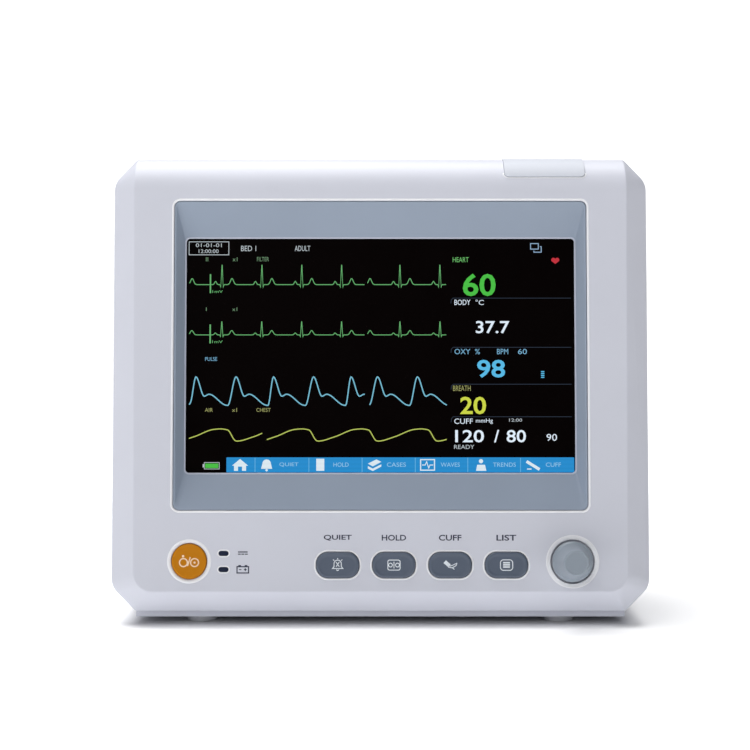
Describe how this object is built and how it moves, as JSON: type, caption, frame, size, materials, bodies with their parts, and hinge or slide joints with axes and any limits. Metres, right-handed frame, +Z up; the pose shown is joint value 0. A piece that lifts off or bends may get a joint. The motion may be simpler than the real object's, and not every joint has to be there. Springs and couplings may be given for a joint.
{
  "type": "patient monitor",
  "caption": "Bedside patient monitor with a reclined colour display, soft keys, push-and-turn knob, folding handle, side sensor sockets and rear threaded mounts.",
  "frame": {"origin": "centre of the footprint at the level the feet stand on", "axes": "+X to the right seen from the front, the front faces -Y, +Z up"},
  "size_m": [0.2402, 0.12, 0.2089],
  "materials": {
    "case_plastic": "fine moulded texture, pale warm grey",
    "bezel_plastic": "satin blue grey",
    "screen_glass": "clear gloss window",
    "display_glass": "dark display glass",
    "sheet_steel": "plated sheet steel",
    "screw_steel": "zinc plated",
    "circuit_board": "green solder mask",
    "ribbon_film": "pale film with fine conductors",
    "status_lens": "dark tinted light pipe",
    "led_resin": "clear resin",
    "alarm_lens": "milky translucent lens",
    "amber_plastic": "satin amber",
    "key_plastic": "satin slate",
    "knob_plastic": "satin blue grey",
    "black_plastic": "black moulded",
    "gasket_rubber": "matt black rubber",
    "brass": "machined brass",
    "plated_brass": "nickel plated",
    "valve_plastic": "off white nylon",
    "tube_rubber": "translucent silicone hose",
    "green_plastic": "green moulded",
    "blue_plastic": "blue moulded",
    "battery_wrap": "blue heat shrink wrap",
    "grip_rubber": "slate rubber sleeve",
    "foot_rubber": "pale grey rubber"
  },
  "bodies": {
    "housing": {"front_panel": "case_plastic", "rear_cover": "case_plastic", "display_bezel": "bezel_plastic", "screen_lens": "screen_glass", "lcd_frame": "sheet_steel", "lcd_panel": "display_glass", "lcd_bracket": "sheet_steel", "bracket_screws": "screw_steel", "display_board": "circuit_board", "display_ribbon": "ribbon_film", "status_lenses": "status_lens", "status_leds": "led_resin", "alarm_lens": "alarm_lens", "alarm_board": "circuit_board", "key_board": "circuit_board", "key_switches": "black_plastic", "encoder_body": "sheet_steel", "case_gasket": "gasket_rubber", "case_screws": "screw_steel", "chassis_standoffs": "brass", "chassis_plate": "sheet_steel", "board_standoffs": "brass", "main_board": "circuit_board", "main_board_parts": "black_plastic", "measuring_board": "circuit_board", "measuring_shield": "sheet_steel", "power_board": "circuit_board", "power_parts": "black_plastic", "air_pump": "screw_steel", "pump_head": "black_plastic", "air_valves": "valve_plastic", "air_tubes": "tube_rubber", "sensor_panel": "bezel_plastic", "panel_screws": "screw_steel", "ecg_socket": "green_plastic", "oxygen_socket": "blue_plastic", "socket_inserts": "black_plastic", "temperature_sockets": "black_plastic", "cuff_socket": "plated_brass", "battery_pack": "battery_wrap", "jack_plate": "sheet_steel", "dc_jack": "black_plastic", "network_jack": "plated_brass", "ground_post": "plated_brass", "speaker": "black_plastic", "speaker_ring": "sheet_steel", "hinge_pins": "screw_steel", "mount_inserts": "brass", "feet": "foot_rubber"},
    "power_button_body": {"power_button": "amber_plastic"},
    "mute_key_body": {"mute_key": "key_plastic"},
    "hold_key_body": {"hold_key": "key_plastic"},
    "cuff_key_body": {"cuff_key": "key_plastic"},
    "menu_key_body": {"menu_key": "key_plastic"},
    "knob_rotor": {"encoder_rotor": "brass"},
    "knob_body": {"encoder_shaft": "screw_steel", "knob": "knob_plastic"},
    "handle": {"carry_handle": "case_plastic", "handle_grip": "grip_rubber"},
    "battery_door_body": {"battery_door": "case_plastic"}
  },
  "joints": [
    {"name": "power_button_press", "type": "slide", "parent": "housing", "child": "power_button_body", "axis": [0, 0.9925, -0.1219], "range_m": [0, 0.001], "stiffness_N_per_m": 900, "springref_m": -0.0006},
    {"name": "mute_key_press", "type": "slide", "parent": "housing", "child": "mute_key_body", "axis": [0, 0.9925, -0.1219], "range_m": [0, 0.001], "stiffness_N_per_m": 900, "springref_m": -0.0006},
    {"name": "hold_key_press", "type": "slide", "parent": "housing", "child": "hold_key_body", "axis": [0, 0.9925, -0.1219], "range_m": [0, 0.001], "stiffness_N_per_m": 900, "springref_m": -0.0006},
    {"name": "cuff_key_press", "type": "slide", "parent": "housing", "child": "cuff_key_body", "axis": [0, 0.9925, -0.1219], "range_m": [0, 0.001], "stiffness_N_per_m": 900, "springref_m": -0.0006},
    {"name": "menu_key_press", "type": "slide", "parent": "housing", "child": "menu_key_body", "axis": [0, 0.9925, -0.1219], "range_m": [0, 0.001], "stiffness_N_per_m": 900, "springref_m": -0.0006},
    {"name": "knob_turn", "type": "hinge", "parent": "housing", "child": "knob_rotor", "pos_m": [0.0849, -0.0435, 0.02974], "axis": [0, 0.9925, -0.1219], "continuous": true},
    {"name": "knob_press", "type": "slide", "parent": "knob_rotor", "child": "knob_body", "axis": [0, 0.9925, -0.1219], "range_m": [0, 0.0005], "stiffness_N_per_m": 4000, "springref_m": -0.0005},
    {"name": "handle_lift", "type": "hinge", "parent": "housing", "child": "handle", "pos_m": [0, 0.008, 0.188], "axis": [1, 0, 0], "range_deg": [0, 90]},
    {"name": "battery_door_swing", "type": "hinge", "parent": "housing", "child": "battery_door_body", "pos_m": [0.1162, 0.0474, 0.066], "axis": [0, 0, 1], "range_deg": [0, 95]}
  ]
}
